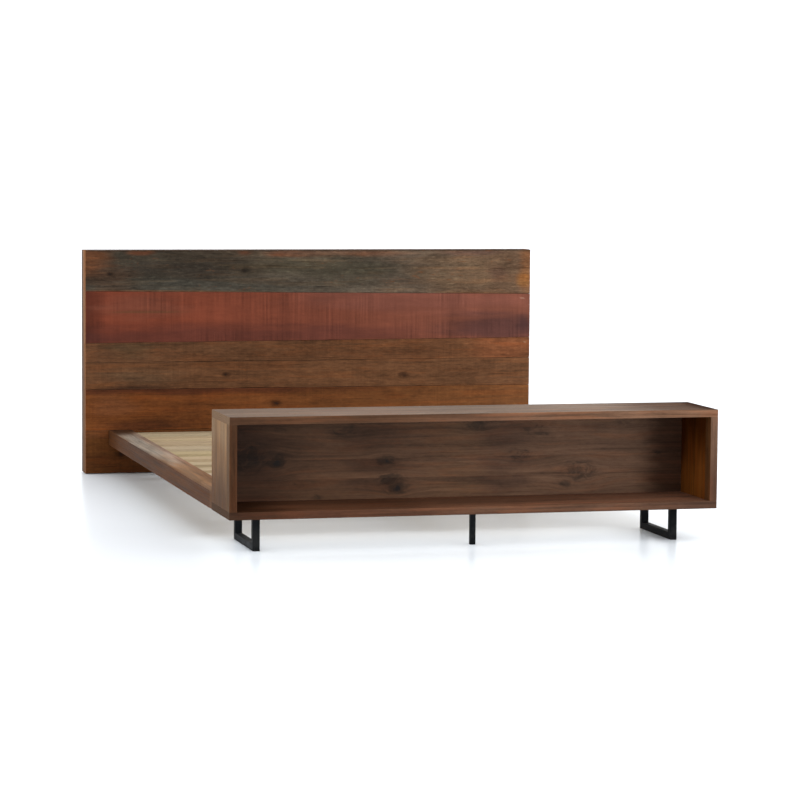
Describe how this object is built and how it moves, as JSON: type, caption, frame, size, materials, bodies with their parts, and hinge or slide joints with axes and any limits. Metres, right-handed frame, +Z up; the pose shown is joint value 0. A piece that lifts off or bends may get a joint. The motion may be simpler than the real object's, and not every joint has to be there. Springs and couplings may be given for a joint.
{
  "type": "bed frame",
  "caption": "Platform bed frame with a reclaimed plank headboard, slatted deck, open bookcase bench at the foot and black steel sled legs.",
  "frame": {"origin": "on the floor, under the middle of the frame's overall width and length", "axes": "+X to the right as seen from the foot, +Y from the foot to the headboard, +Z up"},
  "size_m": [1.905, 2.62, 0.922],
  "materials": {
    "plank_charcoal": "weathered, open grained, greenish grey over rust brown",
    "plank_brick_red": "old brick red paint worn into the grain, fine saw marks",
    "plank_olive_brown": "weathered olive brown",
    "plank_weathered_tan": "weathered tan brown with light flecks",
    "plank_rust_orange": "rust orange brown, satin",
    "plank_umber": "dark umber brown, satin",
    "headboard_end_grain": "sawn tan edge",
    "stained_hardwood": "dark stained, satin",
    "back_panel_ply": "stained plywood",
    "walnut_satin": "satin walnut",
    "walnut_side": "satin walnut, upright grain",
    "walnut_dark": "dark walnut with knots, satin",
    "pine": "planed, unfinished",
    "pine_slat": "planed, unfinished",
    "beech_dowel": "fluted, unfinished",
    "black_steel": "matte black powder coat",
    "zinc_steel": "zinc plated",
    "black_screw": "black oxide",
    "nylon_glide": "natural nylon",
    "levelling_foot_nylon": "black glass filled nylon"
  },
  "bodies": {
    "frame": {"headboard_plank_1": "plank_charcoal", "headboard_plank_2": "plank_brick_red", "headboard_plank_3": "plank_olive_brown", "headboard_plank_4": "plank_weathered_tan", "headboard_plank_5": "plank_rust_orange", "headboard_plank_6": "plank_umber", "headboard_end_left": "headboard_end_grain", "headboard_end_right": "headboard_end_grain", "headboard_top_strip": "stained_hardwood", "headboard_batten_left": "pine", "headboard_batten_middle": "pine", "headboard_batten_right": "pine", "headboard_post_left": "stained_hardwood", "headboard_post_right": "stained_hardwood", "headboard_rail_top": "stained_hardwood", "headboard_rail_bottom": "stained_hardwood", "headboard_back_panel": "back_panel_ply", "headboard_glides": "nylon_glide", "side_rail_left": "walnut_satin", "side_rail_right": "walnut_satin", "slat_ledger_left": "pine", "slat_ledger_right": "pine", "foot_board": "walnut_satin", "foot_ledger": "pine", "foot_apron": "pine", "centre_beam": "pine", "beam_hangers": "zinc_steel", "slat_1": "pine_slat", "slat_2": "pine_slat", "slat_3": "pine_slat", "slat_4": "pine_slat", "slat_5": "pine_slat", "slat_6": "pine_slat", "slat_7": "pine_slat", "slat_8": "pine_slat", "slat_9": "pine_slat", "slat_10": "pine_slat", "slat_11": "pine_slat", "bench_top": "walnut_satin", "bench_bottom": "walnut_satin", "bench_side_left": "walnut_side", "bench_side_right": "walnut_side", "bench_lipping_left": "walnut_satin", "bench_lipping_right": "walnut_satin", "bench_back_board_1": "walnut_dark", "bench_back_board_2": "walnut_dark", "bench_back_board_3": "walnut_dark", "sled_leg_left": "black_steel", "sled_leg_right": "black_steel", "centre_post": "black_steel", "support_leg_1": "pine", "support_leg_2": "pine", "rail_plates": "zinc_steel", "bench_dowels": "beech_dowel", "deck_screws": "zinc_steel", "frame_screws": "black_screw", "rail_bolts": "black_screw"},
    "front_levelling_foot": {"levelling_foot_1": "levelling_foot_nylon"},
    "head_levelling_foot": {"levelling_foot_2": "levelling_foot_nylon"}
  },
  "joints": [
    {"name": "front_leveller_travel", "type": "slide", "parent": "frame", "child": "front_levelling_foot", "axis": [0, 0, -1], "range_m": [0, 0.012]},
    {"name": "head_leveller_travel", "type": "slide", "parent": "frame", "child": "head_levelling_foot", "axis": [0, 0, -1], "range_m": [0, 0.012]}
  ]
}
